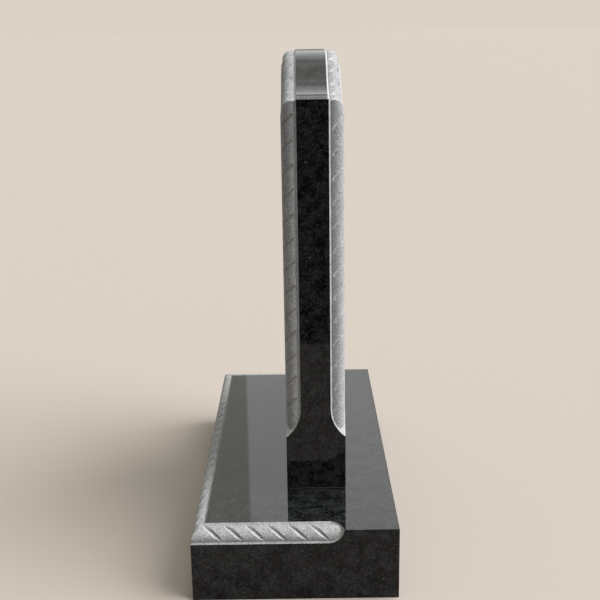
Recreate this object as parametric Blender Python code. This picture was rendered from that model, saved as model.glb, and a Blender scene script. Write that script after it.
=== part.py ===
"""Ogee headstone: a rope-edged granite tablet standing on a granite base.

The tablet has an ogee head and a rope band carved along its front and its back arris, up both
ends and over the head. The bands stop above the foot. The base has one rope band, along its front
top arris and back along both ends, which stops level with the back of the tablet.
Metres, +Z up, the front faces -Y and the stones are long in X.
"""
import math

import bmesh
import bpy
from mathutils import Vector

# Base stone
BASE_LENGTH = 0.708
BASE_DEPTH = 0.305
BASE_HEIGHT = 0.112

# Tablet, measured from its foot
TABLET_WIDTH = 0.436
TABLET_THICKNESS = 0.092
SHOULDER_HEIGHT = 0.6015
FRONT_LEDGE = 0.1405
JOINT_GAP = 0.0003

# Ogee head: a flat shoulder, then two equal arcs that meet in a slope, the second one the crown
SHOULDER_FLAT = 0.030
OGEE_RISE = 0.0625
ARC_STEPS = 6

# Rope band: width on each face, measured from the arris that the uncut stone would have
TABLET_BAND = 0.0228
BASE_BAND = 0.0208
BASE_END_BAND = 0.0278

# Section of the carving: a 45 degree step down into a quirk, the flank of the roll, the roll. A
# narrow band leaves less room for the arris, but always the least flat beside the flank
QUIRK_DEPTH = 0.0030
ROLL_SINK = 0.0018
FLANK_WIDTH = 0.0030
ARRIS_RADIUS = 0.0135
LEAST_FLAT = 0.0005
FLANK_STEPS = 2
ARRIS_STEPS = 5

# Where the bands stop, and the radius on which their edge sweeps out to the arris: above the foot
# on the tablet, and a little short of the tablet's back on the base
TABLET_STOP_HEIGHT = 0.0885
TABLET_STOP_RADIUS = 0.058
BASE_STOP_SHORT = 0.0075
BASE_STOP_RADIUS = 0.0245
STOP_STEPS = 7

# Rope nicks: V cuts laid slantwise over the roll. The first and last of a row stand off the corners
# and the tips of the bands, and the slant is how far a nick runs along the band
NICK_DEPTH = 0.0032
NICK_WIDTH = 0.0100
NICK_STEPS = 4
TABLET_NICK_PITCH = 0.0358
TABLET_NICK_SLANT = 0.024
TABLET_NICK_FROM_TIP = 0.052
TABLET_NICK_FROM_SHOULDER = 0.0315
HEAD_NICK_FROM_SHOULDER = 0.041
BASE_NICK_PITCH = 0.0319
BASE_NICK_SLANT = 0.0275
BASE_NICK_FROM_TIP = 0.037
BASE_NICK_FROM_CORNER = 0.0319

# How far a cutter stands clear of the faces that it opens
CUT_CLEARANCE = 0.004

# Corners closer than this are one corner
WELD_DISTANCE = 0.00005

POLISHED_BLACK = (0.013, 0.013, 0.014, 1.0)
POLISH_ROUGHNESS = 0.08


def quarter(centre, radius_a, radius_b, start, steps):
    """Points of a quarter ellipse about centre, through 90 degrees from the angle start."""
    middle_a, middle_b = centre
    angles = [start + math.pi / 2 * step / steps for step in range(steps + 1)]
    return [(middle_a + radius_a * math.cos(angle), middle_b + radius_b * math.sin(angle)) for angle in angles]


def flank(width):
    """One side of the band section, from the edge of the band to the flat of the roll."""
    foot = width - QUIRK_DEPTH
    curve = quarter((foot - FLANK_WIDTH, QUIRK_DEPTH), FLANK_WIDTH, ROLL_SINK - QUIRK_DEPTH, 0.0, FLANK_STEPS)
    return [(width, 0.0)] + curve


def arris_radius(width):
    """Radius of the roll's arris on a band of this width."""
    return min(ARRIS_RADIUS, width - QUIRK_DEPTH - FLANK_WIDTH - ROLL_SINK - LEAST_FLAT)


def band_section(width):
    """Section of the carving as distances in from its two faces, from one face to the other."""
    side = flank(width)
    radius = arris_radius(width)
    centre = ROLL_SINK + radius
    arris = quarter((centre, centre), radius, -radius, math.pi / 2, ARRIS_STEPS)
    return side + arris + [(b, a) for a, b in reversed(side)]


def waste_section(width):
    """Section of the stone that is cut away outside the carving, closed clear of both faces."""
    inner = band_section(width)[1:-1]
    reach = width + CUT_CLEARANCE
    return [(reach, -CUT_CLEARANCE)] + inner + [(-CUT_CLEARANCE, reach), (-CUT_CLEARANCE, -CUT_CLEARANCE)]


def place(frame, across, section):
    """Points of a section set at a frame (point, inward normal), with its other axis across."""
    point, normal = frame
    return [point + normal * a + across * b for a, b in section]


def loft(name, rings, cutters):
    """Closed solid through rings of points, all with the same number of points, as a cutter."""
    mesh = bmesh.new()
    loops = [[mesh.verts.new(point) for point in ring] for ring in rings]
    for low, high in zip(loops, loops[1:]):
        for index in range(len(low)):
            after = (index + 1) % len(low)
            mesh.faces.new((low[index], low[after], high[after], high[index]))
    mesh.faces.new(loops[0])
    mesh.faces.new(loops[-1])
    bmesh.ops.recalc_face_normals(mesh, faces=mesh.faces)
    return add_object(name, mesh, cutters)


def add_object(name, mesh, collection):
    """Turn a bmesh into an object of the collection, and free it."""
    data = bpy.data.meshes.new(name)
    mesh.to_mesh(data)
    mesh.free()
    added = bpy.data.objects.new(name, data)
    collection.objects.link(added)
    return added


def mitred(runs):
    """Frames along runs that meet at right angles, with the mitre's frame at each meeting."""
    frames = list(runs[0][:-1])
    for before, after in zip(runs, runs[1:]):
        frames.append((after[0][0], before[-1][1] + after[0][1]))
        frames += after[1:-1]
    return frames + [runs[-1][-1]]


def run_length(run):
    """Length of a run of frames."""
    return sum((after[0] - before[0]).length for before, after in zip(run, run[1:]))


def frame_at(run, distance):
    """Frame at a distance along a run."""
    for before, after in zip(run, run[1:]):
        step = (after[0] - before[0]).length
        if distance <= step or after is run[-1]:
            share = distance / step
            return before[0].lerp(after[0], share), before[1].lerp(after[1], share)
        distance -= step


def evenly(first, last, pitch):
    """Places from first to last, at the whole number of equal steps nearest to the pitch."""
    count = max(1, round((last - first) / pitch))
    return [first + (last - first) * index / count for index in range(count + 1)]


def stop_cutter(name, run, across, width, radius, tip, cutters):
    """Solid that shortens the waste of a band, so that its edge sweeps out to the arris at tip."""
    straight = tip + radius * math.sin(math.acos(1 - width / radius))
    past_tip = math.acos(1 - (width + WELD_DISTANCE) / radius)
    edges = [(0.0, -WELD_DISTANCE)]
    for step in range(STOP_STEPS, -1, -1):
        angle = past_tip * step / STOP_STEPS
        edges.append((straight - radius * math.sin(angle), width - radius * (1 - math.cos(angle))))
    edges.append((straight + CUT_CLEARANCE, width + WELD_DISTANCE))
    clear = 2 * CUT_CLEARANCE
    far = width + 2 * clear
    rings = []
    for distance, edge in edges:
        section = [(edge + clear, -clear), (far, -clear), (far, far), (-clear, far), (-clear, edge + clear)]
        rings.append(place(frame_at(run, distance), across, section))
    return loft(name, rings, cutters)


def carve_band(stone, name, runs, across, width, radius, tip, cutters):
    """Cut the band's waste from the stone, stopped at the tips on the first and the last run."""
    section = waste_section(width)
    waste = loft(name, [place(frame, across, section) for frame in mitred(runs)], cutters)
    for end, run in (("first", runs[0]), ("last", runs[-1][::-1])):
        cut(waste, stop_cutter(f"{name}_{end}_stop", run, across, width, radius, tip, cutters))
    cut(stone, waste)


def roll_outline(width):
    """Points and outward normals over the roll, from one flank to the other."""
    start = width - QUIRK_DEPTH - FLANK_WIDTH
    radius = arris_radius(width)
    centre = ROLL_SINK + radius
    half = start - centre
    turn = radius * math.pi / 4
    outline = []
    for step in range(-NICK_STEPS // 2, NICK_STEPS // 2 + 1):
        along = (half + turn) * abs(step) * 2 / NICK_STEPS
        angle = math.pi / 4 - min(along, turn) / radius
        point = Vector((centre + max(along - turn, 0.0) - radius * math.sin(angle),
                        centre - radius * math.cos(angle)))
        normal = Vector((-math.sin(angle), -math.cos(angle)))
        if step < 0:
            point, normal = point.yx, normal.yx
        outline.append((step * 2 / NICK_STEPS, point, normal))
    return outline


def nick_rings(run, across, width, distance, slant):
    """Rings of one V cutter that follows the roll, deepest on the arris and fading to both sides."""
    opening = NICK_WIDTH / 2 / NICK_DEPTH
    rings = []
    for share, point, normal in roll_outline(width):
        depth = NICK_DEPTH * (1 - share ** 4)
        spread = opening * (depth + NICK_DEPTH)
        apex = point - normal * depth
        outer = point + normal * NICK_DEPTH
        centre = distance + slant * share / 2
        places = ((centre, apex), (centre - spread, outer), (centre + spread, outer))
        rings.append([place(frame_at(run, at), across, [tuple(spot)])[0] for at, spot in places])
    return rings


def cut_nicks(stone, name, nicks, cutters):
    """Cut rope nicks, each given as its rings, from the stone in one go."""
    joined = bmesh.new()
    for rings in nicks:
        single = loft(name, rings, cutters)
        joined.from_mesh(single.data)
        bpy.data.meshes.remove(single.data)
    cut(stone, add_object(name, joined, cutters))


def cut(stone, cutter):
    """Take the cutter away from the stone, merge the corners this leaves a hair apart, and hide it."""
    boolean = stone.modifiers.new(cutter.name, "BOOLEAN")
    boolean.operation = "DIFFERENCE"
    boolean.solver = "EXACT"
    boolean.object = cutter
    merge = stone.modifiers.new(f"{cutter.name}_weld", "WELD")
    merge.merge_threshold = WELD_DISTANCE
    cutter.parent = stone
    cutter.hide_render = True
    cutter.display_type = "WIRE"


def granite(name):
    """Polished black granite."""
    material = bpy.data.materials.new(name)
    material.use_nodes = True
    shader = material.node_tree.nodes["Principled BSDF"]
    shader.inputs["Base Color"].default_value = POLISHED_BLACK
    shader.inputs["Roughness"].default_value = POLISH_ROUGHNESS
    return material


def head_run():
    """Frames over the head, from the right shoulder to the left one."""
    half_run = TABLET_WIDTH / 2 - SHOULDER_FLAT
    turn = 2 * math.atan(OGEE_RISE / half_run)
    radius = half_run / (2 * math.sin(turn))
    hollow = Vector((half_run, 0.0, SHOULDER_HEIGHT + radius))
    crown = Vector((0.0, 0.0, SHOULDER_HEIGHT + OGEE_RISE - radius))
    shoulder = (Vector((TABLET_WIDTH / 2, 0.0, SHOULDER_HEIGHT)), Vector((0.0, 0.0, -1.0)))
    angles = [turn * step / ARC_STEPS for step in range(ARC_STEPS + 1)]
    right = [shoulder]
    for angle in angles:
        inward = Vector((-math.sin(angle), 0.0, -math.cos(angle)))
        right.append((hollow + inward * radius, inward))
    for angle in reversed(angles[:-1]):
        inward = Vector((-math.sin(angle), 0.0, -math.cos(angle)))
        right.append((crown - inward * radius, inward))
    return right + [(flip(point), flip(inward)) for point, inward in reversed(right[:-1])]


def flip(vector):
    """Mirror a vector in the stone's middle plane."""
    return Vector((-vector.x, vector.y, vector.z))


def end_run(low):
    """Frames up the tablet's right end, from a height to the shoulder."""
    inward = Vector((-1.0, 0.0, 0.0))
    heights = (low, SHOULDER_HEIGHT)
    return [(Vector((TABLET_WIDTH / 2, 0.0, height)), inward) for height in heights]


def make_slab(collection):
    """Uncut tablet: its outline as a filled curve, extruded to its thickness and stood upright."""
    outline = bpy.data.curves.new("tablet_outline", "CURVE")
    outline.dimensions = "2D"
    outline.fill_mode = "BOTH"
    outline.extrude = TABLET_THICKNESS / 2
    half = TABLET_WIDTH / 2
    points = [(half, 0.0)] + [(point.x, point.z) for point, _ in head_run()] + [(-half, 0.0)]
    spline = outline.splines.new("POLY")
    spline.points.add(len(points) - 1)
    for spot, (x, z) in zip(spline.points, points):
        spot.co = (x, z, 0.0, 1.0)
    spline.use_cyclic_u = True
    guide = bpy.data.objects.new("tablet_outline", outline)
    guide.rotation_euler = (math.pi / 2, 0.0, 0.0)
    collection.objects.link(guide)
    bpy.context.view_layer.update()
    evaluated = guide.evaluated_get(bpy.context.evaluated_depsgraph_get())
    mesh = bmesh.new()
    mesh.from_mesh(bpy.data.meshes.new_from_object(evaluated))
    mesh.transform(guide.matrix_world)
    bmesh.ops.remove_doubles(mesh, verts=mesh.verts, dist=0.00001)
    bmesh.ops.recalc_face_normals(mesh, faces=mesh.faces)
    bpy.data.objects.remove(guide)
    return add_object("tablet", mesh, collection)


def make_tablet(collection, cutters):
    """Tablet with its two rope bands and their nicks."""
    tablet = make_slab(collection)
    tablet.location = (0.0, -BASE_DEPTH / 2 + FRONT_LEDGE + TABLET_THICKNESS / 2, BASE_HEIGHT + JOINT_GAP)
    tablet.data.materials.append(granite("tablet_stone"))
    low = TABLET_STOP_HEIGHT / 2
    tip = TABLET_STOP_HEIGHT - low
    nicks = []
    for side, face in (("front", -1), ("back", 1)):
        across = Vector((0.0, -face, 0.0))
        shift = Vector((0.0, face * TABLET_THICKNESS / 2, 0.0))
        right = [(point + shift, inward) for point, inward in end_run(low)]
        head = [(point + shift, inward) for point, inward in head_run()]
        left = [(flip(point), flip(inward)) for point, inward in reversed(right)]
        runs = [right, head, left]
        carve_band(tablet, f"{side}_band", runs, across, TABLET_BAND, TABLET_STOP_RADIUS, tip, cutters)
        slant = TABLET_NICK_SLANT * face
        highest = run_length(right) - TABLET_NICK_FROM_SHOULDER
        for distance in evenly(tip + TABLET_NICK_FROM_TIP, highest, TABLET_NICK_PITCH):
            nicks.append(nick_rings(right, across, TABLET_BAND, distance, slant))
            nicks.append(nick_rings(left[::-1], across, TABLET_BAND, distance, -slant))
        farthest = run_length(head) - HEAD_NICK_FROM_SHOULDER
        for distance in evenly(HEAD_NICK_FROM_SHOULDER, farthest, TABLET_NICK_PITCH):
            nicks.append(nick_rings(head, across, TABLET_BAND, distance, slant))
    cut_nicks(tablet, "tablet_nicks", nicks, cutters)
    return tablet


def make_base(collection, cutters):
    """Base with the rope band round its front and its ends."""
    bpy.ops.mesh.primitive_cube_add(size=1.0, location=(0.0, 0.0, BASE_HEIGHT / 2))
    base = bpy.context.object
    base.name = base.data.name = "base"
    base.scale = (BASE_LENGTH, BASE_DEPTH, BASE_HEIGHT)
    bpy.ops.object.transform_apply(location=True, rotation=False, scale=True)
    for owner in base.users_collection:
        owner.objects.unlink(base)
    collection.objects.link(base)
    base.data.materials.append(granite("base_stone"))
    down = Vector((0.0, 0.0, -1.0))
    end_inward = Vector((-BASE_END_BAND / BASE_BAND, 0.0, 0.0))
    corner = Vector((BASE_LENGTH / 2, -BASE_DEPTH / 2, BASE_HEIGHT))
    tip = BASE_DEPTH - FRONT_LEDGE - TABLET_THICKNESS + BASE_STOP_SHORT
    right = [(corner + Vector((0.0, BASE_DEPTH, 0.0)), end_inward), (corner, end_inward)]
    front = [(corner, Vector((0.0, 1.0, 0.0))), (flip(corner), Vector((0.0, 1.0, 0.0)))]
    left = [(flip(point), flip(inward)) for point, inward in reversed(right)]
    carve_band(base, "base_band", [right, front, left], down, BASE_BAND, BASE_STOP_RADIUS, tip, cutters)
    nicks = []
    for distance in evenly(tip + BASE_NICK_FROM_TIP, BASE_DEPTH - BASE_NICK_FROM_CORNER, BASE_NICK_PITCH):
        nicks.append(nick_rings(right, down, BASE_BAND, distance, BASE_NICK_SLANT))
        nicks.append(nick_rings(left[::-1], down, BASE_BAND, distance, -BASE_NICK_SLANT))
    for distance in evenly(BASE_NICK_FROM_CORNER, BASE_LENGTH - BASE_NICK_FROM_CORNER, BASE_NICK_PITCH):
        nicks.append(nick_rings(front, down, BASE_BAND, distance, BASE_NICK_SLANT))
    cut_nicks(base, "base_nicks", nicks, cutters)
    return base


def main():
    """Build the headstone in an emptied scene."""
    for leftover in list(bpy.data.objects):
        bpy.data.objects.remove(leftover, do_unlink=True)
    headstone = bpy.data.collections.new("ogee_headstone")
    cutters = bpy.data.collections.new("cutters")
    bpy.context.scene.collection.children.link(headstone)
    bpy.context.scene.collection.children.link(cutters)
    make_base(headstone, cutters)
    make_tablet(headstone, cutters)


main()
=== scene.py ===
"""Looks of an ogee headstone: two stones of black granite, polished, with frosted rope bands.

The tablet and the base are each modelled again at full fineness in the place of their plain solid.
Metres, +Z up, the front faces -Y and the stones are long in X.
"""
import logging
import math
from contextlib import contextmanager
from dataclasses import dataclass
from enum import Enum
from typing import Callable, Iterator

import bmesh
import bpy
from mathutils import Matrix, Vector

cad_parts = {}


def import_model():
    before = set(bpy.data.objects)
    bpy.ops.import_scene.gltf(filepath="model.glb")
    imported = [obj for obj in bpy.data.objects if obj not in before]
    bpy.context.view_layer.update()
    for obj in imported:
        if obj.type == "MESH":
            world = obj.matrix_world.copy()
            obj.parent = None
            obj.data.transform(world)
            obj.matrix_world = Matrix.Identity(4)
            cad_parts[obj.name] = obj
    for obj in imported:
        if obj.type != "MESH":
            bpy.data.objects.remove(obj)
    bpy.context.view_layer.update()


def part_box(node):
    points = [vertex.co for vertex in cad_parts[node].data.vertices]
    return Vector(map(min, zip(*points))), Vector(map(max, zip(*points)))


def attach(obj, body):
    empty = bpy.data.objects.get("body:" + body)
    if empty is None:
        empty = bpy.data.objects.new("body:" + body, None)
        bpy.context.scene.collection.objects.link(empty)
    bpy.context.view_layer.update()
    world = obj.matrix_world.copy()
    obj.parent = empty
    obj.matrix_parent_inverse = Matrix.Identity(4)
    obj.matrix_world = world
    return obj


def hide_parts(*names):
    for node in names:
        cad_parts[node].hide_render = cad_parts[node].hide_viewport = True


log = logging.getLogger("ogee_headstone")

X_AXIS = Vector((1.0, 0.0, 0.0))
Y_AXIS = Vector((0.0, 1.0, 0.0))
Z_AXIS = Vector((0.0, 0.0, 1.0))
ORIGIN = Vector((0.0, 0.0, 0.0))

# Corners of one drawing that are closer than this are one corner
MERGE = 0.000004
# Corners that a cut leaves a hair apart
WELD = 0.00002
# Edges that turn by more than this stay crisp
CRISP_EDGE = math.radians(12.0)
# Edges that turn by more than this are arrises of an uncut stone
ARRIS_EDGE = math.radians(60.0)
# Corners that turn an outline by less than this are dissolved
STRAIGHT = math.radians(0.01)
# A face lies level where its normal has at least this much Z
LEVEL = 0.98
# The upper wall of a nick is cut by the faces of its cutter whose normals have more Z than this
UPPER_WALL = 0.3
# The 45 degree step beside a tablet's band has normals with this much Y, give or take a little
STEP_SLOPE = math.sqrt(0.5)
SAME_SLOPE = 0.01
# Sides and length of the round cutter that hollows a stop, which reaches past both sides of a band
SWEEP_STEPS = 256
SWEEP_LENGTH = 0.4
WHITE = (1.0, 1.0, 1.0)


class Surface(Enum):
    """The surfaces of a stone, by the place of their material on it."""

    POLISHED = 0
    FROSTED = 1
    # Whiter: the ground foot arris, and a painted highlight on the steps and on the nicks' upper walls
    BRUISED = 2


def linear(colour: str) -> tuple[float, float, float, float]:
    """Turn an sRGB hex colour into linear values.

    Args:
        colour: six hex digits after a hash sign.

    Returns:
        Red, green, blue and an alpha of one.
    """
    parts = [int(colour[start:start + 2], 16) / 255.0 for start in (1, 3, 5)]
    values = [part / 12.92 if part <= 0.04045 else ((part + 0.055) / 1.055) ** 2.4 for part in parts]
    return values[0], values[1], values[2], 1.0


def add_node(tree: bpy.types.NodeTree, kind: str, settings: dict, inputs: dict) -> bpy.types.Node:
    """Add a node with its settings, and give its inputs their values or links.

    Args:
        tree: the node tree that takes it.
        kind: the node's type name.
        settings: attributes of the node.
        inputs: by the name or number of an input, a value or the output that feeds it.

    Returns:
        The new node.
    """
    node = tree.nodes.new(kind)
    for name, value in settings.items():
        setattr(node, name, value)
    for name, value in inputs.items():
        if isinstance(value, bpy.types.NodeSocket):
            tree.links.new(value, node.inputs[name])
        else:
            node.inputs[name].default_value = value
    return node


def set_stops(ramp: bpy.types.Node, stops: list[tuple[float, tuple]]) -> None:
    """Give a colour ramp its stops.

    Args:
        ramp: a colour ramp node.
        stops: place and colour of each stop, in order.
    """
    elements = ramp.color_ramp.elements
    while len(elements) < len(stops):
        elements.new(1.0)
    for element, (place, colour) in zip(elements, stops):
        element.position = place
        element.color = colour


def new_material(name: str, constants: dict) -> tuple[bpy.types.Material, bpy.types.Node]:
    """Make a material that has the principled shader.

    Args:
        name: the material's name.
        constants: values of the shader's own sockets, by the socket's name.

    Returns:
        The material and its shader node.
    """
    material = bpy.data.materials.new(name)
    material.use_nodes = True
    shader = material.node_tree.nodes["Principled BSDF"]
    for socket, value in constants.items():
        shader.inputs[socket].default_value = value
    return material, shader


@dataclass(frozen=True)
class PolishedGranite:
    """Black granite ground and polished to a mirror.

    What it gives the eye: almost black, clouded on the scale of a fingernail, with faint grey grains
    of feldspar two millimetres across and very rarely a paler one, under a sharp reflection. The
    IOR is that of the stone, and the specular level matches the strength of the reflection.
    """

    name: str = "polished_black_granite"
    ground: str = "#060708"
    cloud: str = "#1d1e1f"
    grain: str = "#353638"
    fleck: str = "#4a4b4c"
    cloud_size: float = 0.018
    cloud_detail: float = 5.0
    cloud_raggedness: float = 0.7
    cloud_ends: tuple[float, float] = (0.40, 0.62)
    grain_size: float = 0.0023
    grain_share: float = 0.35
    fleck_share: float = 0.0005
    ior: float = 1.5
    specular: float = 0.2
    roughness: float = 0.03
    roughness_swing: float = 0.2

    def make(self) -> bpy.types.Material:
        """Build the material.

        Returns:
            The material, by the name of this finish.
        """
        material, shader = new_material(self.name, {"IOR": self.ior, "Specular IOR Level": self.specular})
        tree = material.node_tree
        place = add_node(tree, "ShaderNodeTexCoord", {}, {}).outputs["Object"]
        clouds = add_node(tree, "ShaderNodeTexNoise", {},
                          {"Vector": place, "Scale": 1.0 / self.cloud_size, "Detail": self.cloud_detail,
                           "Roughness": self.cloud_raggedness}).outputs["Fac"]
        clouded = add_node(tree, "ShaderNodeValToRGB", {}, {"Fac": clouds})
        set_stops(clouded, list(zip(self.cloud_ends, (linear(self.ground), linear(self.cloud)))))
        cells = add_node(tree, "ShaderNodeTexVoronoi", {}, {"Vector": place, "Scale": 1.0 / self.grain_size})
        chance = add_node(tree, "ShaderNodeSeparateColor", {}, {"Color": cells.outputs["Color"]})
        grains = add_node(tree, "ShaderNodeMapRange", {"interpolation_type": "SMOOTHSTEP"},
                          {"Value": chance.outputs["Red"], "From Min": 1.0 - self.grain_share,
                           "From Max": 1.0})
        patchy = add_node(tree, "ShaderNodeMath", {"operation": "MULTIPLY"},
                          {0: grains.outputs["Result"], 1: clouds})
        grained = add_node(tree, "ShaderNodeMix", {"data_type": "RGBA"},
                           {"Factor": patchy.outputs["Value"], "A": clouded.outputs["Color"],
                            "B": linear(self.grain)})
        flecks = add_node(tree, "ShaderNodeMath", {"operation": "GREATER_THAN"},
                          {0: chance.outputs["Green"], 1: 1.0 - self.fleck_share})
        colour = add_node(tree, "ShaderNodeMix", {"data_type": "RGBA"},
                          {"Factor": flecks.outputs["Value"], "A": grained.outputs["Result"],
                           "B": linear(self.fleck)})
        tree.links.new(colour.outputs["Result"], shader.inputs["Base Color"])
        gloss = add_node(tree, "ShaderNodeMapRange", {},
                         {"Value": clouds, "To Min": self.roughness * (1.0 - self.roughness_swing),
                          "To Max": self.roughness * (1.0 + self.roughness_swing)})
        tree.links.new(gloss.outputs["Result"], shader.inputs["Roughness"])
        return material


@dataclass(frozen=True)
class FrostedGranite:
    """The same granite where it is carved and left frosted by the tool.

    What it gives the eye: the crushed crystals scatter light, so the stone turns silver grey, with
    a soft salt-and-pepper grain, shallow pits and no reflection. The grain and the pits are drawn
    coarser than the tool leaves them, as coarse as they need to show.
    """

    name: str = "frosted_granite"
    pepper: str = "#717272"
    silver: str = "#898a8c"
    salt: str = "#a1a2a5"
    grain_size: float = 0.0024
    grain_detail: float = 2.5
    grain_raggedness: float = 0.75
    grain_stops: tuple[float, float, float] = (0.36, 0.50, 0.64)
    patch_size: float = 0.014
    patch_detail: float = 3.0
    patch_ends: tuple[float, float] = (0.3, 0.7)
    patch_shades: tuple[float, float] = (0.88, 1.08)
    pit_size: float = 0.0016
    pit_depth: float = 0.00010
    pit_detail: float = 1.5
    pit_raggedness: float = 0.6
    ior: float = 1.5
    specular: float = 0.25
    roughness: float = 0.75

    def make(self) -> bpy.types.Material:
        """Build the material.

        Returns:
            The material, by the name of this finish.
        """
        material, shader = new_material(self.name, {"IOR": self.ior, "Specular IOR Level": self.specular,
                                                    "Roughness": self.roughness})
        tree = material.node_tree
        place = add_node(tree, "ShaderNodeTexCoord", {}, {}).outputs["Object"]
        grains = add_node(tree, "ShaderNodeTexNoise", {},
                          {"Vector": place, "Scale": 1.0 / self.grain_size, "Detail": self.grain_detail,
                           "Roughness": self.grain_raggedness})
        speckle = add_node(tree, "ShaderNodeValToRGB", {}, {"Fac": grains.outputs["Fac"]})
        colours = [linear(colour) for colour in (self.pepper, self.silver, self.salt)]
        set_stops(speckle, list(zip(self.grain_stops, colours)))
        patches = add_node(tree, "ShaderNodeTexNoise", {},
                           {"Vector": place, "Scale": 1.0 / self.patch_size, "Detail": self.patch_detail})
        shade = add_node(tree, "ShaderNodeMapRange", {},
                         {"Value": patches.outputs["Fac"],
                          "From Min": self.patch_ends[0], "From Max": self.patch_ends[1],
                          "To Min": self.patch_shades[0], "To Max": self.patch_shades[1]})
        colour = add_node(tree, "ShaderNodeVectorMath", {"operation": "SCALE"},
                          {"Vector": speckle.outputs["Color"], "Scale": shade.outputs["Result"]})
        tree.links.new(colour.outputs["Vector"], shader.inputs["Base Color"])
        pits = add_node(tree, "ShaderNodeTexNoise", {},
                        {"Vector": place, "Scale": 1.0 / self.pit_size, "Detail": self.pit_detail,
                         "Roughness": self.pit_raggedness})
        bump = add_node(tree, "ShaderNodeBump", {},
                        {"Height": pits.outputs["Fac"], "Distance": self.pit_depth})
        tree.links.new(bump.outputs["Normal"], shader.inputs["Normal"])
        return material


@dataclass(frozen=True)
class BruisedAndHighlightGranite(FrostedGranite):
    """Frosted granite painted whiter, as on the ground arris round the tablet's foot, a nick's upper wall, a
    step or a stop.

    What it gives the eye: it is whiter than the rest. On the foot arris this is the ground, unpolished
    stone; on a nick's upper wall and on the steps it is a painted highlight, for the light that falls there.
    """

    name: str = "bruised_and_highlight_granite"
    pepper: str = "#8e8f91"
    silver: str = "#9e9fa1"
    salt: str = "#b0b1b4"


def deselect_everything() -> None:
    """Leave edit mode and deselect every object."""
    if bpy.context.mode != "OBJECT":
        bpy.ops.object.mode_set(mode="OBJECT")
    bpy.ops.object.select_all(action="DESELECT")


def take_up(piece: bpy.types.Object) -> None:
    """Make a piece the active object and the only one selected."""
    deselect_everything()
    piece.select_set(True)
    bpy.context.view_layer.objects.active = piece


@contextmanager
def editing(piece: bpy.types.Object, kind: str = "VERT") -> Iterator[None]:
    """Work on one piece in edit mode, with all of it selected.

    Args:
        piece: the object to edit.
        kind: what is selected, VERT, EDGE or FACE.

    Yields:
        Nothing; the piece is in edit mode meanwhile.
    """
    take_up(piece)
    bpy.ops.object.mode_set(mode="EDIT")
    bpy.ops.mesh.select_mode(type=kind)
    bpy.ops.mesh.select_all(action="SELECT")
    yield
    bpy.ops.object.mode_set(mode="OBJECT")


def pick_faces(piece: bpy.types.Object, test: Callable[[bmesh.types.BMFace], bool]) -> None:
    """Select the faces of a piece in edit mode that pass a test, and no others.

    Args:
        piece: the object being edited.
        test: says of a face whether it is selected.
    """
    bpy.ops.mesh.select_all(action="DESELECT")
    mesh = bmesh.from_edit_mesh(piece.data)
    for face in mesh.faces:
        if test(face):
            face.select_set(True)
    bmesh.update_edit_mesh(piece.data)


def pull(way: Vector) -> None:
    """Extrude the selected face along a vector."""
    bpy.ops.mesh.extrude_region_move(TRANSFORM_OT_translate={"value": way})


def swing(centre: Vector, axis: Vector, angle: float, steps: int) -> None:
    """Extrude what is selected round an axis; a positive angle turns right-handed."""
    bpy.ops.mesh.spin(steps=steps, angle=-angle, center=centre, axis=axis)


def turn(centre: Vector, axis_name: str, angle: float) -> None:
    """Rotate what is selected about a world axis through a point; a positive angle is right-handed."""
    bpy.ops.transform.rotate(value=-angle, orient_axis=axis_name, center_override=centre)


def trim(point: Vector, outward: Vector) -> None:
    """Cut all of the edited piece along a plane and drop the side that the vector points to."""
    bpy.ops.mesh.select_all(action="SELECT")
    bpy.ops.mesh.bisect(plane_co=point, plane_no=outward, clear_outer=True, threshold=MERGE / 10)


def apply_modifier(piece: bpy.types.Object, kind: str, settings: dict) -> None:
    """Put a modifier on a piece and apply it.

    Args:
        piece: the object.
        kind: the modifier's type.
        settings: its attributes.
    """
    take_up(piece)
    modifier = piece.modifiers.new(kind.lower(), kind)
    for name, value in settings.items():
        setattr(modifier, name, value)
    bpy.ops.object.modifier_apply(modifier=modifier.name)


def mirror(piece: bpy.types.Object, axis: int) -> None:
    """Mirror a piece in the plane through the origin that one axis stands on."""
    axes = [number == axis for number in range(3)]
    apply_modifier(piece, "MIRROR", {"use_axis": axes, "merge_threshold": MERGE, "use_mirror_merge": True})


def cut_away(piece: bpy.types.Object, cutter: bpy.types.Object) -> None:
    """Take a cutter away from a piece, weld the corners this leaves, and throw the cutter away.

    Args:
        piece: the object that is cut.
        cutter: what is taken away; its walls lend the cut their materials.
    """
    settings = {"operation": "DIFFERENCE", "solver": "EXACT", "object": cutter, "material_mode": "TRANSFER"}
    apply_modifier(piece, "BOOLEAN", settings)
    bpy.data.objects.remove(cutter, do_unlink=True)
    with editing(piece):
        bpy.ops.mesh.remove_doubles(threshold=WELD)
        bpy.ops.mesh.dissolve_degenerate(threshold=WELD)


def joined(name: str, pieces: list[bpy.types.Object]) -> bpy.types.Object:
    """Join pieces into one object and merge the corners where they meet.

    Args:
        name: the name of the object that this gives.
        pieces: the objects.

    Returns:
        The joined object.
    """
    deselect_everything()
    for piece in pieces:
        piece.select_set(True)
    bpy.context.view_layer.objects.active = pieces[0]
    bpy.ops.object.join()
    whole = bpy.context.object
    whole.name = whole.data.name = name
    with editing(whole):
        bpy.ops.mesh.remove_doubles(threshold=MERGE)
        bpy.ops.mesh.normals_make_consistent(inside=False)
    return whole


def paint(piece: bpy.types.Object, surfaces: dict[Surface, bpy.types.Material], surface: Surface) -> None:
    """Give a piece the materials of all surfaces, and its faces one of them.

    Args:
        piece: the object.
        surfaces: the material of each surface.
        surface: the one that all faces take.
    """
    piece.data.materials.clear()
    for member in Surface:
        piece.data.materials.append(surfaces[member])
    for polygon in piece.data.polygons:
        polygon.material_index = surface.value


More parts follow.
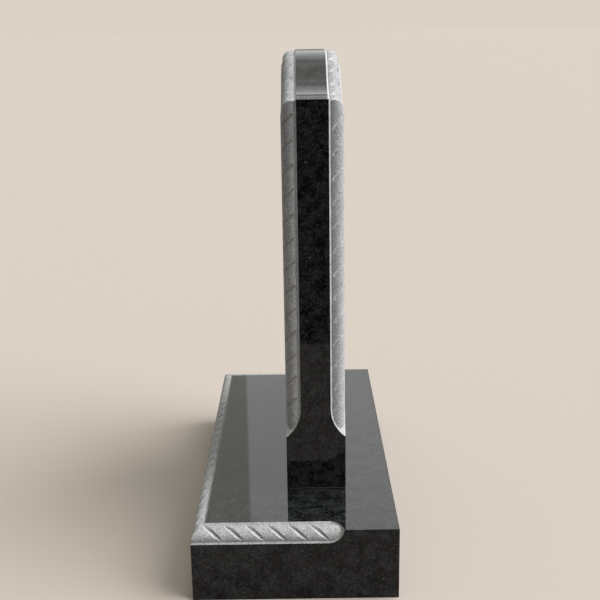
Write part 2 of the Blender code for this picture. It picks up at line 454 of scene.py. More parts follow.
def repaint(piece: bpy.types.Object, surface: Surface, test: Callable[[bmesh.types.BMFace], bool]) -> None:
    """Give the faces of a painted piece that pass a test another surface.

    Args:
        piece: the object.
        surface: what those faces take.
        test: says of a face whether it is one of them.
    """
    with editing(piece, "FACE"):
        pick_faces(piece, test)
        piece.active_material_index = surface.value
        bpy.ops.object.material_slot_assign()


class Pen:
    """Draws a wire in edit mode from one point, with straight strokes and arcs."""

    def __init__(self, name: str, start: Vector) -> None:
        """Start a drawing.

        Args:
            name: the name of the object that is drawn.
            start: where the pen is set down.
        """
        deselect_everything()
        bpy.ops.mesh.primitive_plane_add(size=0.01)
        self.piece = bpy.context.object
        self.piece.name = self.piece.data.name = name
        self.at = start.copy()
        bpy.ops.object.mode_set(mode="EDIT")
        bpy.ops.mesh.select_mode(type="VERT")
        bpy.ops.mesh.select_all(action="SELECT")
        bpy.ops.mesh.merge(type="CENTER")
        bpy.ops.transform.translate(value=start)

    def line(self, end: Vector) -> None:
        """Draw a straight stroke to a point."""
        bpy.ops.mesh.extrude_vertices_move(TRANSFORM_OT_translate={"value": end - self.at})
        self.at = end.copy()

    def arc(self, centre: Vector, axis: Vector, angle: float, steps: int) -> None:
        """Draw an arc round a centre; a positive angle turns right-handed about the axis."""
        swing(centre, axis, angle, steps)
        self.at = Matrix.Rotation(angle, 3, axis) @ (self.at - centre) + centre

    def lift(self) -> bpy.types.Object:
        """End the drawing as an open wire and return its object."""
        bpy.ops.object.mode_set(mode="OBJECT")
        return self.piece

    def fill(self) -> bpy.types.Object:
        """Close the drawing and fill it with one face.

        Returns:
            The object.
        """
        bpy.ops.mesh.select_all(action="SELECT")
        bpy.ops.mesh.remove_doubles(threshold=MERGE)
        bpy.ops.mesh.edge_face_add()
        return self.lift()


@dataclass(frozen=True)
class RopeBand:
    """Section of a rope band, as distances in from the two faces that it is carved along.

    A 45 degree step leads down from the polished face into a quirk, and a roll rises from it over
    the arris and down to the like quirk on the other face.
    """

    width: float
    arris_radius: float
    sink: float = 0.0018
    flank_radius: float = 0.0015
    crown_tilt: float = math.radians(7.0)
    flank_tilt: float = math.radians(62.0)
    clearance: float = 0.004
    arris_steps: int = 16
    crown_steps: int = 3
    flank_steps: int = 6

    @property
    def centre(self) -> float:
        """Distance of the arris arc's centre from both faces."""
        return self.sink + self.arris_radius

    @property
    def crown_radius(self) -> float:
        """Radius of the flat curve between the arris and a flank.

        Returns:
            The one radius at which the section is as wide as the band.
        """
        tilt = self.crown_tilt
        flank_reach = math.cos(tilt) - math.cos(self.flank_tilt) + math.sin(self.flank_tilt) - math.sin(tilt)
        space = self.width - self.centre - self.sink - self.flank_radius * flank_reach
        return space / (1.0 - math.cos(tilt) + math.sin(tilt))

    @property
    def quirk(self) -> float:
        """Depth of the quirk.

        Returns:
            How far its bottom lies below the polished face.
        """
        crown_drop = self.crown_radius * (1.0 - math.cos(self.crown_tilt))
        flank_drop = self.flank_radius * (math.cos(self.crown_tilt) - math.cos(self.flank_tilt))
        return self.sink + crown_drop + flank_drop

    def draw_waste(self, name: str, corner: Vector, inward: Vector, across: Vector) -> bpy.types.Object:
        """Draw the section of the stone that is cut away outside the carving.

        Args:
            name: the drawing's name.
            corner: a point on the arris of the uncut stone.
            inward: unit vector in from one face.
            across: unit vector in from the other face.

        Returns:
            An object with the section as its one face.
        """
        def spot(a: float, b: float) -> Vector:
            """The point this far in from each face."""
            return corner + inward * a + across * b

        clear = self.clearance
        reach = self.width + clear
        foot = self.width - self.quirk
        axis = inward.cross(across)
        flank = (self.flank_radius, self.flank_tilt - self.crown_tilt, self.flank_steps)
        crown = (self.crown_radius, self.crown_tilt, self.crown_steps)
        arris = (self.arris_radius, math.pi / 2, self.arris_steps)
        pen = Pen(name, spot(reach, -clear))
        pen.line(spot(foot, self.quirk))
        tilt = self.flank_tilt
        for radius, angle, steps in (flank, crown, arris, crown, flank):
            normal = inward * math.sin(tilt) - across * math.cos(tilt)
            pen.arc(pen.at - normal * radius, axis, -angle, steps)
            tilt -= angle
        pen.line(spot(-clear, reach))
        pen.line(spot(-clear, -clear))
        pen.line(spot(reach, -clear))
        return pen.fill()

    def on_roll(self, share: float) -> tuple[Vector, float]:
        """Find a point of the roll between its two flanks.

        Args:
            share: from -1 at the flank on one face, over 0 on the arris, to 1 on the other.

        Returns:
            The point, and the angle of the outward normal about the band's line.
        """
        arris_length = self.arris_radius * math.pi / 4
        along = abs(share) * (arris_length + self.crown_radius * self.crown_tilt)
        if along < arris_length:
            tilt = along / self.arris_radius - math.pi / 4
            centre, radius = Vector((self.centre, self.centre, 0.0)), self.arris_radius
        else:
            tilt = (along - arris_length) / self.crown_radius
            centre, radius = Vector((self.centre, self.sink + self.crown_radius, 0.0)), self.crown_radius
        point = centre + Vector((math.sin(tilt), -math.cos(tilt), 0.0)) * radius
        angle = tilt - math.pi / 2
        if share < 0.0:
            point = Vector((point.y, point.x, 0.0))
            angle = -1.5 * math.pi - angle
        return point, angle


@dataclass(frozen=True)
class Nick:
    """A V cut laid slantwise over the roll, deepest on the arris and fading to both flanks.

    Its walls are frosted, but the upper one has the surface that is given for it; the whiter bruised surface
    there is a painted highlight, as both walls are cut alike.
    """

    band: RopeBand
    slant: float
    # The upper wall's surface: the whiter one paints a highlight on that wall alone
    upper: Surface = Surface.BRUISED
    depth: float = 0.0032
    width: float = 0.0100
    stations: int = 20

    def model(self, name: str, surfaces: dict[Surface, bpy.types.Material]) -> bpy.types.Object:
        """Model the V cutter with the arris on Z, one face in X and the other in Y.

        The upper wall is the one whose normals point to positive Z on the cutter.

        Args:
            name: the cutter's name.
            surfaces: the material of each surface.

        Returns:
            The cutter, closed.
        """
        def lay(share: float) -> tuple[Vector, float, float]:
            """The cutter's outer point, its angle and its height at a share of the roll."""
            point, angle = self.band.on_roll(share)
            normal = Vector((math.cos(angle), math.sin(angle), 0.0))
            outer = point + normal * self.depth + Z_AXIS * (self.slant * share / 2.0)
            return outer, angle, self.depth * (2.0 - share ** 4)

        outer, angle, height = lay(-1.0)
        half = Z_AXIS * (height * self.width / 2.0 / self.depth)
        normal = Vector((math.cos(angle), math.sin(angle), 0.0))
        pen = Pen(name, outer - half)
        pen.line(outer + half)
        pen.line(outer - normal * height)
        pen.line(outer - half)
        cutter = pen.fill()
        with editing(cutter, "FACE"):
            for station in range(1, self.stations + 1):
                next_outer, next_angle, next_height = lay(2.0 * station / self.stations - 1.0)
                pull(next_outer - outer)
                turn(next_outer, "Z", next_angle - angle)
                growth = next_height / height
                bpy.ops.transform.resize(value=(growth, growth, growth), center_override=next_outer)
                outer, angle, height = next_outer, next_angle, next_height
            bpy.ops.mesh.select_all(action="SELECT")
            bpy.ops.mesh.normals_make_consistent(inside=False)
        paint(cutter, surfaces, Surface.FROSTED)
        # Painted highlight: the upper wall alone takes the given, whiter surface
        repaint(cutter, self.upper, lambda face: face.normal.z > UPPER_WALL)
        return cutter


@dataclass(frozen=True)
class Spot:
    """A place on an arris: the point, the way in from one face and the way that the band runs."""

    point: Vector
    inward: Vector
    along: Vector

    def flipped(self) -> "Spot":
        """The like place on the other half of the stone, where the band runs on the same way."""
        def flip(vector: Vector) -> Vector:
            """The vector mirrored in the stone's middle."""
            return Vector((-vector.x, vector.y, vector.z))

        return Spot(flip(self.point), flip(self.inward), -flip(self.along))


def set_at(cutter: bpy.types.Object, spot: Spot, across: Vector, along: Vector) -> None:
    """Set a modelled cutter at its place on a stone.

    Args:
        cutter: the cutter, with the arris on Z, one face in X and the other in Y.
        spot: where it goes.
        across: the way in from the second face.
        along: the way that the cutter's Z takes.
    """
    columns = Matrix((spot.inward, across, along)).transposed()
    cutter.data.transform(Matrix.Translation(spot.point) @ columns.to_4x4())
    if columns.determinant() < 0.0:
        cutter.data.flip_normals()


def copy_to(model: bpy.types.Object, spot: Spot, across: Vector, along: Vector) -> bpy.types.Object:
    """Set a copy of a modelled cutter, with its own mesh, at a place on a stone.

    Args:
        model: the cutter, with the arris on Z, one face in X and the other in Y.
        spot: where the copy goes.
        across: the way in from the second face.
        along: the way that the cutter's Z takes.

    Returns:
        The copy.
    """
    copy = model.copy()
    copy.data = model.data.copy()
    bpy.context.collection.objects.link(copy)
    set_at(copy, spot, across, along)
    return copy


def evenly(first: float, last: float, pitch: float) -> list[float]:
    """Places from first to last, at the whole number of equal steps nearest to the pitch."""
    count = max(1, round((last - first) / pitch))
    return [first + (last - first) * index / count for index in range(count + 1)]


def stop_block(band: RopeBand, radius: float, straight: float, low: float) -> bpy.types.Object:
    """Model the block that keeps a band's waste short, hollowed so that the edge sweeps to the arris.

    The arris lies on Z, the stone is at positive X and Y, and the band runs on upwards.

    Args:
        band: the band that ends here.
        radius: radius of the sweep as it shows on a face.
        straight: height above which the band has its full width.
        low: height of the block's underside.

    Returns:
        The block.
    """
    clear = 2.0 * band.clearance
    far = band.width + 2.0 * clear
    size = far + clear
    deselect_everything()
    bpy.ops.mesh.primitive_cube_add(size=1.0)
    block = bpy.context.object
    block.name = "stop_block"
    with editing(block):
        bpy.ops.transform.resize(value=(size, size, straight - low))
        centre = size / 2.0 - clear
        bpy.ops.transform.translate(value=(centre, centre, (straight + low) / 2.0))
    deselect_everything()
    bpy.ops.mesh.primitive_cylinder_add(vertices=SWEEP_STEPS, radius=radius, depth=SWEEP_LENGTH,
                                        rotation=(math.pi / 2, 0.0, 0.0))
    hollow = bpy.context.object
    bpy.ops.object.transform_apply(location=True, rotation=True, scale=True)
    with editing(hollow):
        bpy.ops.transform.resize(value=(1.0 / math.sqrt(2.0), 1.0, 1.0))
        turn(ORIGIN, "Z", math.pi / 4)
        offset = (band.width + WELD - radius) / 2.0
        bpy.ops.transform.translate(value=(offset, offset, straight))
    cut_away(block, hollow)
    return block


def stop_rise(width: float, radius: float) -> float:
    """Length of the sweep from the tip of a band to where it has its full width."""
    return radius * math.sin(math.acos(1.0 - width / radius))


def finish_stone(stone: bpy.types.Object) -> None:
    """Shade a stone smooth up to its crisp edges, and put it in its solid's place.

    Args:
        stone: the finished mesh, named for the node with a suffix.
    """
    take_up(stone)
    bpy.ops.object.shade_smooth_by_angle(angle=CRISP_EDGE)
    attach(stone, "root")
    check = bmesh.new()
    check.from_mesh(stone.data)
    loose = sum(len(edge.link_faces) != 2 for edge in check.edges)
    check.free()
    log.info("%s: %d faces, %d edges that aren't closed", stone.name, len(stone.data.polygons), loose)


@dataclass(frozen=True)
class Tablet:
    """The upright stone, modelled with its foot at height zero and its middle plane at y = 0."""

    width: float
    thickness: float
    middle: float
    foot: float
    shoulder_height: float = 0.6015
    shoulder_flat: float = 0.030
    ogee_rise: float = 0.0625
    arc_steps: int = 28
    arris: float = 0.0008
    foot_arris: float = 0.0022
    band: RopeBand = RopeBand(width=0.0228, arris_radius=0.0135)
    stop_height: float = 0.0885
    stop_radius: float = 0.058
    nick_slant: float = 0.024
    nick_pitch: float = 0.0358
    nick_from_tip: float = 0.052
    nick_from_shoulder: float = 0.0315
    head_nick_from_shoulder: float = 0.041

    @property
    def half_run(self) -> float:
        """Half the width of the ogee between its flat shoulders."""
        return self.width / 2.0 - self.shoulder_flat

    @property
    def arc_turn(self) -> float:
        """Angle through which each arc of the ogee turns."""
        return 2.0 * math.atan(self.ogee_rise / self.half_run)

    @property
    def arc_radius(self) -> float:
        """Radius of the ogee's arcs."""
        return self.half_run / (2.0 * math.sin(self.arc_turn))

    @property
    def crown_centre(self) -> Vector:
        """Centre of the crown's arc."""
        return Vector((0.0, 0.0, self.shoulder_height + self.ogee_rise - self.arc_radius))

    @property
    def hollow_centre(self) -> Vector:
        """Centre of the right-hand hollow's arc."""
        return Vector((self.half_run, 0.0, self.shoulder_height + self.arc_radius))

    @property
    def head_length(self) -> float:
        """Length of the outline over the head, shoulder to shoulder."""
        return 2.0 * (self.shoulder_flat + 2.0 * self.arc_radius * self.arc_turn)

    def model_slab(self) -> bpy.types.Object:
        """Model the uncut stone: half its outline, mirrored, filled, pulled to its thickness.

        Returns:
            The stone with sharp arrises.
        """
        front = Y_AXIS * (-self.thickness / 2.0)
        half = self.width / 2.0
        crown = Z_AXIS * (self.shoulder_height + self.ogee_rise)
        pen = Pen("tablet_granite", front + crown)
        pen.arc(self.crown_centre, Y_AXIS, self.arc_turn, self.arc_steps)
        pen.arc(self.hollow_centre, Y_AXIS, -self.arc_turn, self.arc_steps)
        pen.line(front + Vector((half, 0.0, self.shoulder_height)))
        pen.line(front + Vector((half, 0.0, 0.0)))
        pen.line(front)
        slab = pen.lift()
        mirror(slab, 0)
        with editing(slab):
            bpy.ops.mesh.remove_doubles(threshold=MERGE)
            bpy.ops.mesh.dissolve_limited(angle_limit=STRAIGHT)
            bpy.ops.mesh.edge_face_add()
            pull(Y_AXIS * self.thickness)
            bpy.ops.mesh.select_all(action="SELECT")
            bpy.ops.mesh.normals_make_consistent(inside=False)
        return slab

    def ease_edges(self, slab: bpy.types.Object) -> None:
        """Ease the arrises: a hair on the polished ones, a ground and unpolished one round the foot.

        Args:
            slab: the uncut stone, painted.
        """
        def round_foot(face: bmesh.types.BMFace) -> bool:
            """Whether a face belongs to the arris round the foot."""
            return face.calc_center_median().z < self.foot_arris and abs(face.normal.z) < LEVEL

        with editing(slab, "FACE"):
            pick_faces(slab, lambda face: face.normal.z < -LEVEL)
            bpy.ops.mesh.bevel(offset=self.foot_arris, segments=1, affect="EDGES")
        with editing(slab, "EDGE"):
            bpy.ops.mesh.select_all(action="DESELECT")
            bpy.ops.mesh.edges_select_sharp(sharpness=ARRIS_EDGE)
            bpy.ops.mesh.bevel(offset=self.arris, segments=2, affect="EDGES")
        repaint(slab, Surface.BRUISED, round_foot)

    def model_waste(self, surfaces: dict[Surface, bpy.types.Material]) -> bpy.types.Object:
        """Model what is cut away for the two bands: half of one, mirrored to four quarters.

        The steps and the sweeps are left in the whiter bruised surface; on the steps that is a painted
        highlight, for the bright line that the light from the right gives a step.

        Args:
            surfaces: the material of each surface.

        Returns:
            The cutter, painted.
        """
        front = Y_AXIS * (-self.thickness / 2.0)
        half = self.width / 2.0
        spare = 2.0 * self.band.width
        corner = front + Vector((half, 0.0, self.shoulder_height))
        crown = front + Z_AXIS * (self.shoulder_height + self.ogee_rise)
        head = self.band.draw_waste("head_waste", crown, -Z_AXIS, Y_AXIS)
        with editing(head, "FACE"):
            swing(self.crown_centre, Y_AXIS, self.arc_turn, self.arc_steps)
            swing(self.hollow_centre, Y_AXIS, -self.arc_turn, self.arc_steps)
            pull(X_AXIS * (self.shoulder_flat + spare))
            trim(corner, X_AXIS - Z_AXIS)
            pick_faces(head, lambda face: max(abs(vertex.co.x) for vertex in face.verts) < MERGE)
            bpy.ops.mesh.delete(type="ONLY_FACE")
        low = self.stop_height / 2.0
        top = corner + Z_AXIS * spare
        end = self.band.draw_waste("end_waste", top, -X_AXIS, Y_AXIS)
        with editing(end, "FACE"):
            pull(Z_AXIS * (low - top.z))
            trim(corner, Z_AXIS - X_AXIS)
        waste = joined("band_waste", [head, end])
        mirror(waste, 0)
        straight = self.stop_height + stop_rise(self.band.width, self.stop_radius)
        block = stop_block(self.band, self.stop_radius, straight, low - self.band.clearance)
        set_at(block, Spot(front + X_AXIS * half, -X_AXIS, Z_AXIS), Y_AXIS, Z_AXIS)
        mirror(block, 0)
        paint(waste, surfaces, Surface.FROSTED)
        paint(block, surfaces, Surface.BRUISED)
        cut_away(waste, block)
        # Painted highlight: the 45 degree steps take the whiter surface
        repaint(waste, Surface.BRUISED, lambda face: abs(abs(face.normal.y) - STEP_SLOPE) < SAME_SLOPE)
        mirror(waste, 1)
        return waste

    def on_head(self, distance: float) -> Spot:
        """Find a place on the head's outline.

        Args:
            distance: how far it is over the head from the right shoulder's corner.

        Returns:
            The place, with the band running on to the left.
        """
        if distance > self.head_length / 2.0:
            return self.on_head(self.head_length - distance).flipped()
        past_flat = distance - self.shoulder_flat
        if past_flat <= 0.0:
            point = Vector((self.width / 2.0 - distance, 0.0, self.shoulder_height))
            return Spot(point, -Z_AXIS, -X_AXIS)
        angle = past_flat / self.arc_radius
        hollow = angle <= self.arc_turn
        if not hollow:
            angle = 2.0 * self.arc_turn - angle
        inward = Vector((-math.sin(angle), 0.0, -math.cos(angle)))
        along = Vector((-math.cos(angle), 0.0, math.sin(angle)))
        if hollow:
            return Spot(self.hollow_centre + inward * self.arc_radius, inward, along)
        return Spot(self.crown_centre - inward * self.arc_radius, inward, along)

    def nick_spots(self) -> list[Spot]:
        """Find the places of the front band's nicks.

        Returns:
            The places up the right end, over the head and down the left end.
        """
        first = self.stop_height + self.nick_from_tip
        last = self.shoulder_height - self.nick_from_shoulder
        right = [Spot(Vector((self.width / 2.0, 0.0, height)), -X_AXIS, Z_AXIS)
                 for height in evenly(first, last, self.nick_pitch)]
        farthest = self.head_length - self.head_nick_from_shoulder
        head = [self.on_head(distance)
                for distance in evenly(self.head_nick_from_shoulder, farthest, self.nick_pitch)]
        return right + head + [spot.flipped() for spot in right]

    def model_nicks(self, surfaces: dict[Surface, bpy.types.Material]) -> bpy.types.Object:
        """Model all nicks of both bands.

        Args:
            surfaces: the material of each surface.

        Returns:
            One cutter with all of them.
        """
        # Each nick's upper wall gets a painted highlight: the whiter surface
        model = Nick(self.band, self.nick_slant).model("tablet_nick", surfaces)
        copies = []
        for face in (-1.0, 1.0):
            shift = Y_AXIS * (face * self.thickness / 2.0)
            for spot in self.nick_spots():
                placed = Spot(spot.point + shift, spot.inward, spot.along)
                copies.append(copy_to(model, placed, Y_AXIS * -face, spot.along * face))
        bpy.data.objects.remove(model, do_unlink=True)
        return joined("tablet_nicks", copies)

    def build(self, surfaces: dict[Surface, bpy.types.Material]) -> bpy.types.Object:
        """Model the stone, carve it, set it on the base and dress it.

        Args:
            surfaces: the material of each surface.

        Returns:
            The finished stone.
        """
        slab = self.model_slab()
        paint(slab, surfaces, Surface.POLISHED)
        self.ease_edges(slab)
        cut_away(slab, self.model_waste(surfaces))
        cut_away(slab, self.model_nicks(surfaces))
        with editing(slab):
            bpy.ops.transform.translate(value=(0.0, self.middle, self.foot))
        finish_stone(slab)
        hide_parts("tablet")
        return slab


@dataclass(frozen=True)
class Base:
    """The stone that the tablet stands on, in its own place."""

    length: float
    depth: float
    height: float
    tablet_back: float
    arris: float = 0.0008
    band: RopeBand = RopeBand(width=0.0208, arris_radius=0.0125)
    end_band_width: float = 0.0278
    stop_short: float = 0.0075
    stop_radius: float = 0.0245
    nick_slant: float = 0.0275
    nick_pitch: float = 0.0319
    nick_from_tip: float = 0.037
    nick_from_corner: float = 0.0319

    @property
    def stretch(self) -> float:
        """How much wider the band is on top of the ends than along the front."""
        return self.end_band_width / self.band.width

    @property
    def tip(self) -> float:
        """Distance of the band's tips from the back of the stone."""
        return self.depth / 2.0 - self.tablet_back + self.stop_short

    def model_block(self) -> bpy.types.Object:
        """Model the uncut stone.

        Returns:
            The stone, its arrises eased.
        """
        deselect_everything()
        bpy.ops.mesh.primitive_cube_add(size=1.0)
        block = bpy.context.object
        block.name = block.data.name = "base_granite"
        with editing(block, "EDGE"):
            bpy.ops.transform.resize(value=(self.length, self.depth, self.height))
            bpy.ops.transform.translate(value=(0.0, 0.0, self.height / 2.0))
            bpy.ops.mesh.bevel(offset=self.arris, segments=2, affect="EDGES")
        return block

    def model_waste(self) -> bpy.types.Object:
        """Model what is cut away for the band: the right half, mirrored.

        It is modelled with the front's width on top too, and then stretched in X about the corner.

        Returns:
            The cutter.
        """
        half = self.length / 2.0
        spare = 2.0 * self.band.width
        corner = Vector((half, -self.depth / 2.0, self.height))
        start = Vector((half - half / self.stretch, corner.y, corner.z))
        front = self.band.draw_waste("front_waste", start, Y_AXIS, -Z_AXIS)
        with editing(front, "FACE"):
            pull(X_AXIS * (corner.x - start.x + spare))
            trim(corner, X_AXIS + Y_AXIS)
            pick_faces(front, lambda face: max(abs(vertex.co.x - start.x) for vertex in face.verts) < MERGE)
            bpy.ops.mesh.delete(type="ONLY_FACE")
        end = self.band.draw_waste("end_waste", corner - Y_AXIS * spare, -X_AXIS, -Z_AXIS)
        low = self.tip / 2.0
        with editing(end, "FACE"):
            pull(Y_AXIS * (spare + self.depth - low))
            trim(corner, -X_AXIS - Y_AXIS)
        waste = joined("band_waste", [front, end])
        straight = self.tip + stop_rise(self.band.width, self.stop_radius)
        block = stop_block(self.band, self.stop_radius, straight, low - self.band.clearance)
        back_corner = corner + Y_AXIS * self.depth
        set_at(block, Spot(back_corner, -X_AXIS, -Y_AXIS), -Z_AXIS, -Y_AXIS)
        for piece in (waste, block):
            with editing(piece):
                bpy.ops.transform.resize(value=(self.stretch, 1.0, 1.0), center_override=corner)
            mirror(piece, 0)
        cut_away(waste, block)
        return waste

    def model_nicks(self, surfaces: dict[Surface, bpy.types.Material]) -> bpy.types.Object:
        """Model all nicks of the band; those along the front are frosted all over.

        Args:
            surfaces: the material of each surface.

        Returns:
            One cutter with all of them.
        """
        half = self.length / 2.0
        # The end nicks' upper walls get a painted highlight, the whiter surface; the front nicks stay
        # frosted all over
        end_model = Nick(self.band, self.nick_slant).model("end_nick", surfaces)
        front_model = Nick(self.band, self.nick_slant, Surface.FROSTED).model("front_nick", surfaces)
        copies = []
        for distance in evenly(self.nick_from_corner, self.length - self.nick_from_corner, self.nick_pitch):
            spot = Spot(Vector((half - distance, -self.depth / 2.0, self.height)), Y_AXIS, -X_AXIS)
            copies.append(copy_to(front_model, spot, -Z_AXIS, spot.along))
        last = self.depth - self.nick_from_corner
        for distance in evenly(self.tip + self.nick_from_tip, last, self.nick_pitch):
            point = Vector((half, self.depth / 2.0 - distance, self.height))
            right = Spot(point, -X_AXIS * self.stretch, -Y_AXIS)
            for spot in (right, right.flipped()):
                copies.append(copy_to(end_model, spot, -Z_AXIS, spot.along))
        for model in (end_model, front_model):
            bpy.data.objects.remove(model, do_unlink=True)
        return joined("base_nicks", copies)

    def build(self, surfaces: dict[Surface, bpy.types.Material]) -> bpy.types.Object:
        """Model the stone, carve it and dress it.

        Args:
            surfaces: the material of each surface.

        Returns:
            The finished stone.
        """
        block = self.model_block()
        paint(block, surfaces, Surface.POLISHED)
        waste = self.model_waste()
        paint(waste, surfaces, Surface.FROSTED)
        cut_away(block, waste)
        cut_away(block, self.model_nicks(surfaces))
        finish_stone(block)
        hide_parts("base")
        return block


@dataclass(frozen=True)
class Room:
    """The soft light of a large room, which also shows in the polish.

    It is brightest behind the stone and overhead, and dim towards the camera and on the left. An
    olive wall begins left of the middle, and the ceiling is a little olive too, with one lit strip.
    Low behind the stone, a pale strip goes on from the end of the floor.
    """

    # Elevation in degrees and brightness, up the bright wall and then over the ceiling
    wall: tuple[tuple[float, float], ...] = (
        (0, 0.12), (4, 0.14), (11, 0.38), (14.5, 0.68), (17.5, 1.05), (20, 1.45), (24, 1.80), (27, 2.00),
        (33, 2.00), (43, 1.95), (49.5, 2.00))
    ceiling: tuple[tuple[float, float], ...] = (
        (50.5, 1.42), (55, 1.60), (59, 1.95), (60.5, 2.35), (62, 2.35), (63.5, 2.05), (67, 2.25),
        (75, 2.45), (90, 2.60))
    ceiling_tint: tuple[float, float, float] = (1.0, 1.0, 0.92)
    # Share of that light by how far to the right a direction points, from -1 to 1
    sideways: tuple[tuple[float, float], ...] = ((-1.0, 0.13), (-0.5, 0.60), (-0.15, 1.0), (1.0, 1.0))
    # Share of it that is left towards the camera, and between which X of a direction it falls to that
    dim_front: float = 0.45
    dim_ends: tuple[float, float] = (-0.1, 0.7)
    olive: tuple[float, float, float] = (0.60, 0.61, 0.555)
    olive_edge: float = math.radians(3.3)
    edge_blur: float = 0.002
    # The pale strip fades out upwards between two elevations, and round to the sides between two X
    horizon: str = "#dcd1c5"
    horizon_ends: tuple[float, float] = (math.radians(2.2), math.radians(3.4))
    horizon_sides: tuple[float, float] = (0.0, -0.2)

    @property
    def top(self) -> float:
        """The greatest brightness, which the world's colours take as one."""
        return max(brightness for _, brightness in self.wall + self.ceiling)

    def light_by_height(self, tree: bpy.types.NodeTree, parts: bpy.types.Node) -> bpy.types.NodeSocket:
        """Add the light of the bright wall and the ceiling.

        Args:
            tree: the world's node tree.
            parts: the node with X, Y and Z of the direction.

        Returns:
            The socket with its colour.
        """
        stops = []
        for heights, tint in ((self.wall, WHITE), (self.ceiling, self.ceiling_tint)):
            for elevation, brightness in heights:
                shade = [brightness / self.top / max(tint) * part for part in tint]
                stops.append((math.sin(math.radians(elevation)), (*shade, 1.0)))
        rise = add_node(tree, "ShaderNodeValToRGB", {}, {"Fac": parts.outputs["Z"]})
        set_stops(rise, stops)
        return rise.outputs["Color"]

    def share_by_side(self, tree: bpy.types.NodeTree, way: bpy.types.NodeSocket,
                      parts: bpy.types.Node) -> bpy.types.NodeSocket:
        """Add the share of the light that the left, the front and the olive wall keep.

        Args:
            tree: the world's node tree.
            way: the socket with the direction.
            parts: the node with its X, Y and Z.

        Returns:
            The socket with the share of each colour.
        """
        turned = (-math.sin(self.olive_edge), math.cos(self.olive_edge), 0.0)
        past_edge = add_node(tree, "ShaderNodeVectorMath", {"operation": "DOT_PRODUCT"}, {0: way, 1: turned})
        bright_side = add_node(tree, "ShaderNodeMapRange", {},
                               {"Value": past_edge.outputs["Value"], "From Min": -self.edge_blur,
                                "From Max": 0.0})
        side = add_node(tree, "ShaderNodeMix", {"data_type": "RGBA"},
                        {"Factor": bright_side.outputs["Result"], "A": (*self.olive, 1.0),
                         "B": (*WHITE, 1.0)})
        rightness = add_node(tree, "ShaderNodeMapRange", {}, {"Value": parts.outputs["Y"], "From Min": -1.0})
        across = add_node(tree, "ShaderNodeValToRGB", {}, {"Fac": rightness.outputs["Result"]})
        set_stops(across, [((y + 1.0) / 2.0, (value, value, value, 1.0)) for y, value in self.sideways])
        ahead = add_node(tree, "ShaderNodeMapRange", {"interpolation_type": "SMOOTHSTEP"},
                         {"Value": parts.outputs["X"], "From Min": self.dim_ends[0],
                          "From Max": self.dim_ends[1], "To Min": 1.0, "To Max": self.dim_front})
        both = add_node(tree, "ShaderNodeMath", {"operation": "MULTIPLY"},
                        {0: ahead.outputs["Result"], 1: across.outputs["Color"]})
        sided = add_node(tree, "ShaderNodeVectorMath", {"operation": "SCALE"},
                         {"Vector": side.outputs["Result"], "Scale": both.outputs["Value"]})
        return sided.outputs["Vector"]

    def share_of_horizon(self, tree: bpy.types.NodeTree, parts: bpy.types.Node) -> bpy.types.NodeSocket:
        """Add the share of the pale strip low behind the stone.

        Args:
            tree: the world's node tree.
            parts: the node with X, Y and Z of the direction.

        Returns:
            The socket with the share.
        """
        low_end, high_end = (math.sin(elevation) for elevation in self.horizon_ends)
        low = add_node(tree, "ShaderNodeMapRange", {},
                       {"Value": parts.outputs["Z"], "From Min": high_end, "From Max": low_end})
        behind = add_node(tree, "ShaderNodeMapRange", {},
                          {"Value": parts.outputs["X"], "From Min": self.horizon_sides[0],
                           "From Max": self.horizon_sides[1]})
        strip = add_node(tree, "ShaderNodeMath", {"operation": "MULTIPLY"},
                         {0: low.outputs["Result"], 1: behind.outputs["Result"]})
        return strip.outputs["Value"]

    def build(self) -> None:
        """Make the world of the scene."""
        world = bpy.data.worlds.new("room")
        world.use_nodes = True
        bpy.context.scene.world = world
        tree = world.node_tree
        way = add_node(tree, "ShaderNodeTexCoord", {}, {}).outputs["Generated"]
        parts = add_node(tree, "ShaderNodeSeparateXYZ", {}, {"Vector": way})
        shaded = add_node(tree, "ShaderNodeVectorMath", {"operation": "MULTIPLY"},
                          {0: self.light_by_height(tree, parts), 1: self.share_by_side(tree, way, parts)})
        pale = [part / self.top for part in linear(self.horizon)[:3]]
        colour = add_node(tree, "ShaderNodeMix", {"data_type": "RGBA"},
                          {"Factor": self.share_of_horizon(tree, parts), "A": shaded.outputs["Vector"],
                           "B": (*pale, 1.0)})
        background = tree.nodes["Background"]
        tree.links.new(colour.outputs["Result"], background.inputs["Color"])
        background.inputs["Strength"].default_value = self.top


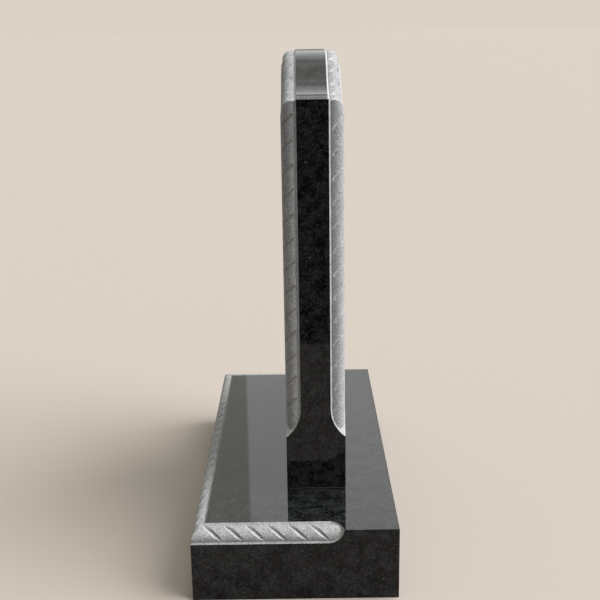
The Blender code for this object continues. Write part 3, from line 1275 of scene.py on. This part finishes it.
@dataclass(frozen=True)
class Studio:
    """Wide pale floor, one large soft key light and the camera."""

    floor_size: float = 80.0
    floor_front: float = 1.32
    floor_colour: str = "#9f9690"
    floor_roughness: float = 0.95
    floor_specular: float = 0.1
    key_way: tuple[float, float, float] = (0.2, 1.0, 0.8)
    key_spread: float = math.radians(60.0)
    key_strength: float = 4.9
    camera_place: tuple[float, float, float] = (1.68197, 0.01491, 0.82047)
    look_down: float = math.radians(16.658)
    look_aside: float = math.radians(-0.12)
    roll: float = math.radians(-0.875)
    # Focal length and upward shift, as shares of the picture's width
    lens_share: float = 1018.16 / 600.0
    shift_share: float = 25.0 / 600.0
    sensor: float = 36.0

    def make_floor(self) -> None:
        """Model the floor, of matt paper: pale, even and with no reflection.

        It goes far out behind the stone, but it ends below the camera, as the polish shows.
        """
        deselect_everything()
        bpy.ops.mesh.primitive_plane_add(size=self.floor_size)
        floor = bpy.context.object
        floor.name = floor.data.name = "studio_floor"
        with editing(floor):
            bpy.ops.transform.translate(value=X_AXIS * (self.floor_front - self.floor_size / 2.0))
        paper, _ = new_material("matt_paper", {"Base Color": linear(self.floor_colour),
                                               "Roughness": self.floor_roughness,
                                               "Specular IOR Level": self.floor_specular})
        floor.data.materials.append(paper)

    def make_key(self) -> None:
        """Light the stone from the right and a little from behind, from a far, wide softbox."""
        data = bpy.data.lights.new("key_light", "SUN")
        data.energy = self.key_strength
        data.angle = self.key_spread
        key = bpy.data.objects.new("key_light", data)
        key.location = self.key_way
        key.rotation_euler = (-Vector(self.key_way)).to_track_quat("-Z", "Y").to_euler()
        bpy.context.scene.collection.objects.link(key)

    def make_camera(self) -> None:
        """Set the camera at the photograph's viewing angle, turned by the angles of this studio."""
        down, aside = self.look_down, self.look_aside
        ahead = Vector((-math.cos(aside), math.sin(aside), 0.0))
        forward = ahead * math.cos(down) - Z_AXIS * math.sin(down)
        level = Vector((math.sin(aside), math.cos(aside), 0.0))
        above = level.cross(forward)
        right = level * math.cos(self.roll) + above * math.sin(self.roll)
        up = above * math.cos(self.roll) - level * math.sin(self.roll)
        data = bpy.data.cameras.new("camera")
        data.sensor_width = self.sensor
        data.lens = self.lens_share * self.sensor
        data.shift_y = self.shift_share
        camera = bpy.data.objects.new("camera", data)
        turned = Matrix((right, up, -forward)).transposed().to_4x4()
        camera.matrix_world = Matrix.Translation(Vector(self.camera_place)) @ turned
        bpy.context.scene.collection.objects.link(camera)
        bpy.context.scene.camera = camera

    def build(self) -> None:
        """Make the floor, the key light and the camera."""
        self.make_floor()
        self.make_key()
        self.make_camera()
        bpy.context.scene.view_settings.view_transform = "Standard"


def main() -> None:
    """Load the frame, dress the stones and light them."""
    logging.basicConfig(level=logging.INFO, format="%(message)s")
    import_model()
    base_low, base_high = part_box("base")
    tablet_low, tablet_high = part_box("tablet")
    surfaces = {Surface.POLISHED: PolishedGranite().make(), Surface.FROSTED: FrostedGranite().make(),
                Surface.BRUISED: BruisedAndHighlightGranite().make()}
    base = Base(length=base_high.x - base_low.x, depth=base_high.y - base_low.y, height=base_high.z,
                tablet_back=tablet_high.y)
    tablet = Tablet(width=tablet_high.x - tablet_low.x, thickness=tablet_high.y - tablet_low.y,
                    middle=(tablet_low.y + tablet_high.y) / 2.0, foot=tablet_low.z)
    for stone in (base.build(surfaces), tablet.build(surfaces)):
        log.info("%s stands in place", stone.name)
    Room().build()
    Studio().build()


if __name__ == "__main__":
    main()
